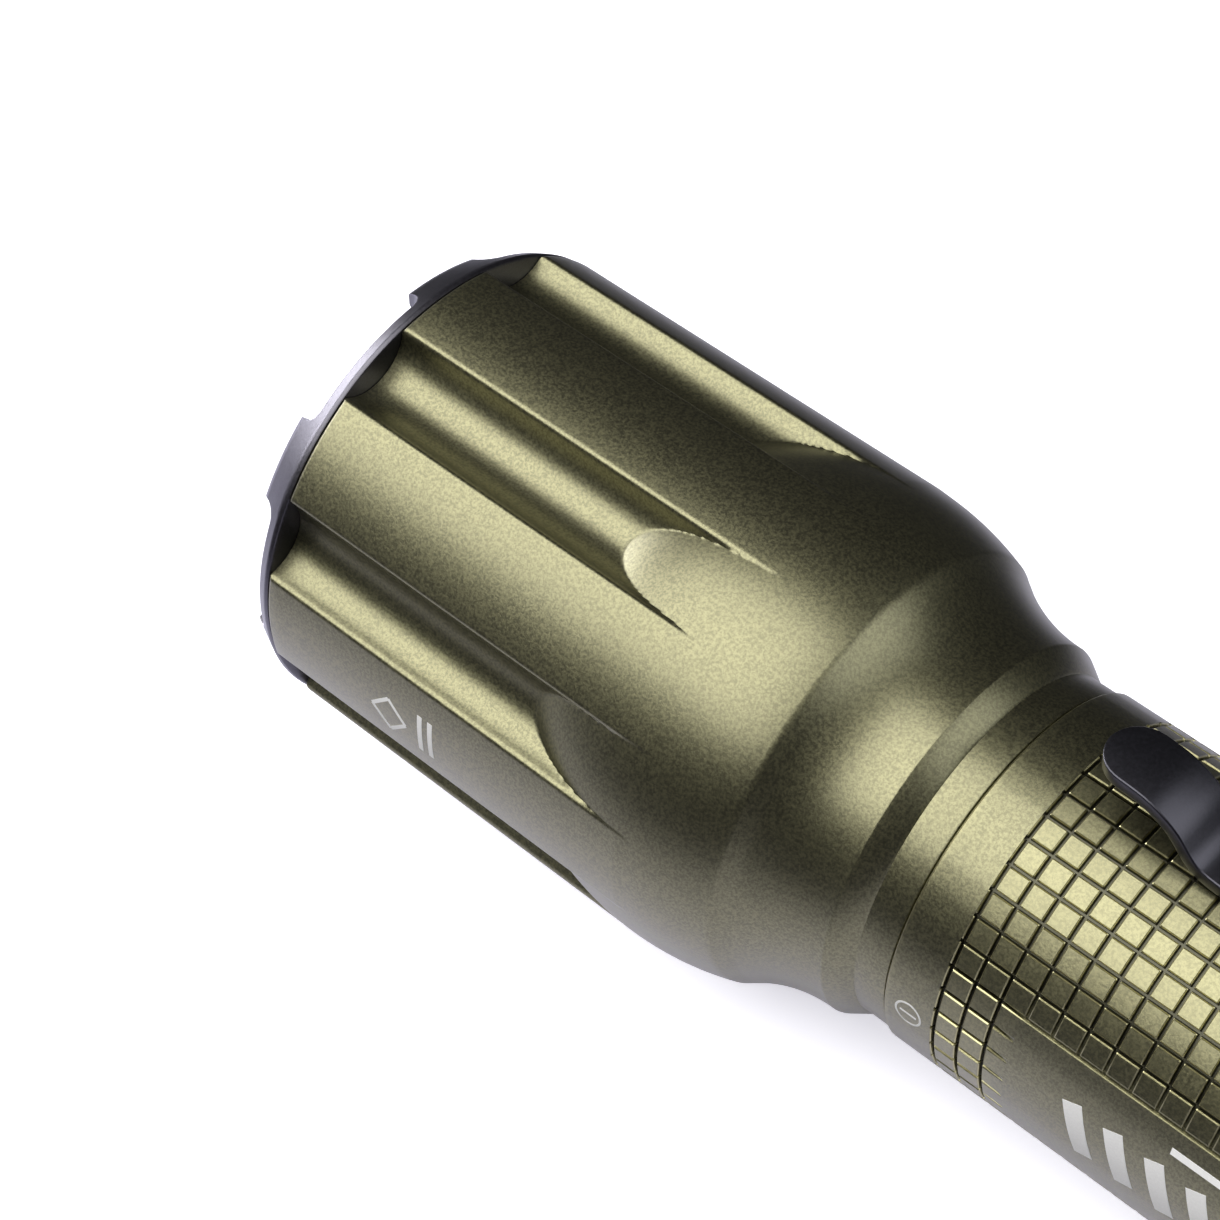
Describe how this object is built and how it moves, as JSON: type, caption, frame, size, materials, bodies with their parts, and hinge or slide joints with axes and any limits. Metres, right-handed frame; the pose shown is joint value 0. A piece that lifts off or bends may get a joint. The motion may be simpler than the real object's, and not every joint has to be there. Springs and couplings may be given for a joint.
{
  "type": "tactical flashlight",
  "caption": "Handheld tactical flashlight with a fluted head, toothed bezel, knurled grip tube, sprung pocket clip and a tail cap with a push button.",
  "frame": {"origin": "on the light's axis, in the middle of the smooth 3.8 mm band behind the head that a ring mount clamps", "axes": "+X along the axis from the head to the tail, so the beam leaves along -X; +Z to the pocket clip; -Y to the smooth panel"},
  "size_m": [0.1412, 0.0344, 0.0344],
  "materials": {
    "olive_anodised": "bead-blasted olive anodising",
    "black_anodised": "black anodising, satin",
    "black_steel": "black coated spring steel, satin",
    "clear_glass": "coated flat glass",
    "mirror_aluminium": "vacuum-coated mirror",
    "black_rubber": "matt silicone",
    "white_plastic": "matt",
    "black_plastic": "matt",
    "led_phosphor": "clear dome over yellow phosphor",
    "white_solder_mask": "solder mask on copper",
    "green_board": "solder mask on glass-epoxy board",
    "ferrite": "sintered ferrite",
    "bare_aluminium": "machined",
    "brass": "machined",
    "gold_spring": "gold-plated spring wire",
    "steel": "nickel-plated",
    "red_insulation": "silicone insulation",
    "cell_can": "nickel-plated, with the cell's mean density",
    "cell_wrap": "heat-shrunk film"
  },
  "bodies": {
    "tube": {"body_tube": "olive_anodised", "battery_cell": "cell_can", "battery_wrapper": "cell_wrap", "clip_band": "black_steel"},
    "clip_spring": {"clip_arm": "black_steel"},
    "head_seal": {"head_seal_ring": "black_rubber"},
    "head": {"bezel_ring": "black_anodised", "lens_oring": "black_rubber", "front_lens": "clear_glass", "reflector": "mirror_aluminium", "led_gasket": "white_plastic", "led_emitter": "led_phosphor", "led_board": "white_solder_mask", "led_board_screws": "steel", "led_wires": "red_insulation", "heat_sink": "bare_aluminium", "driver_board": "green_board", "driver_chip": "black_plastic", "driver_coil": "ferrite", "driver_ring": "brass", "head_spring": "gold_spring", "head_shell": "olive_anodised"},
    "tail_seal": {"tail_seal_ring": "black_rubber"},
    "tail_cap": {"tail_cap": "olive_anodised", "switch_ring": "bare_aluminium", "switch_board": "green_board", "tail_spring": "gold_spring", "switch_housing": "black_plastic", "switch_terminals": "brass", "return_spring": "steel", "boot_flange": "black_rubber"},
    "button": {"switch_stem": "white_plastic", "contact_bridge": "brass", "boot_dome": "black_rubber"}
  },
  "joints": [
    {"name": "clip_flex", "type": "hinge", "parent": "tube", "child": "clip_spring", "pos_m": [0.0536, 0, 0.0132], "axis": [0, 1, 0], "range_deg": [0, 4], "stiffness_Nm_per_rad": 7},
    {"name": "head_travel", "type": "slide", "parent": "tube", "child": "head_seal", "axis": [-1, 0, 0], "range_m": [0, 0.006]},
    {"name": "head_turn", "type": "hinge", "parent": "head_seal", "child": "head", "pos_m": [-0.0019, 0, 0], "axis": [-1, 0, 0], "range_deg": [0, 1810]},
    {"name": "cap_travel", "type": "slide", "parent": "tube", "child": "tail_seal", "axis": [1, 0, 0], "range_m": [0, 0.006]},
    {"name": "cap_turn", "type": "hinge", "parent": "tail_seal", "child": "tail_cap", "pos_m": [0.0641, 0, 0], "axis": [1, 0, 0], "range_deg": [0, 1810]},
    {"name": "button_press", "type": "slide", "parent": "tail_cap", "child": "button", "axis": [-1, 0, 0], "range_m": [0, 0.002], "stiffness_N_per_m": 1200, "deforming": ["return_spring"]}
  ],
  "couplings": [
    {"joint": "head_turn", "follows": "head_travel", "rad_per_m": 5236},
    {"joint": "cap_turn", "follows": "cap_travel", "rad_per_m": 5236}
  ]
}
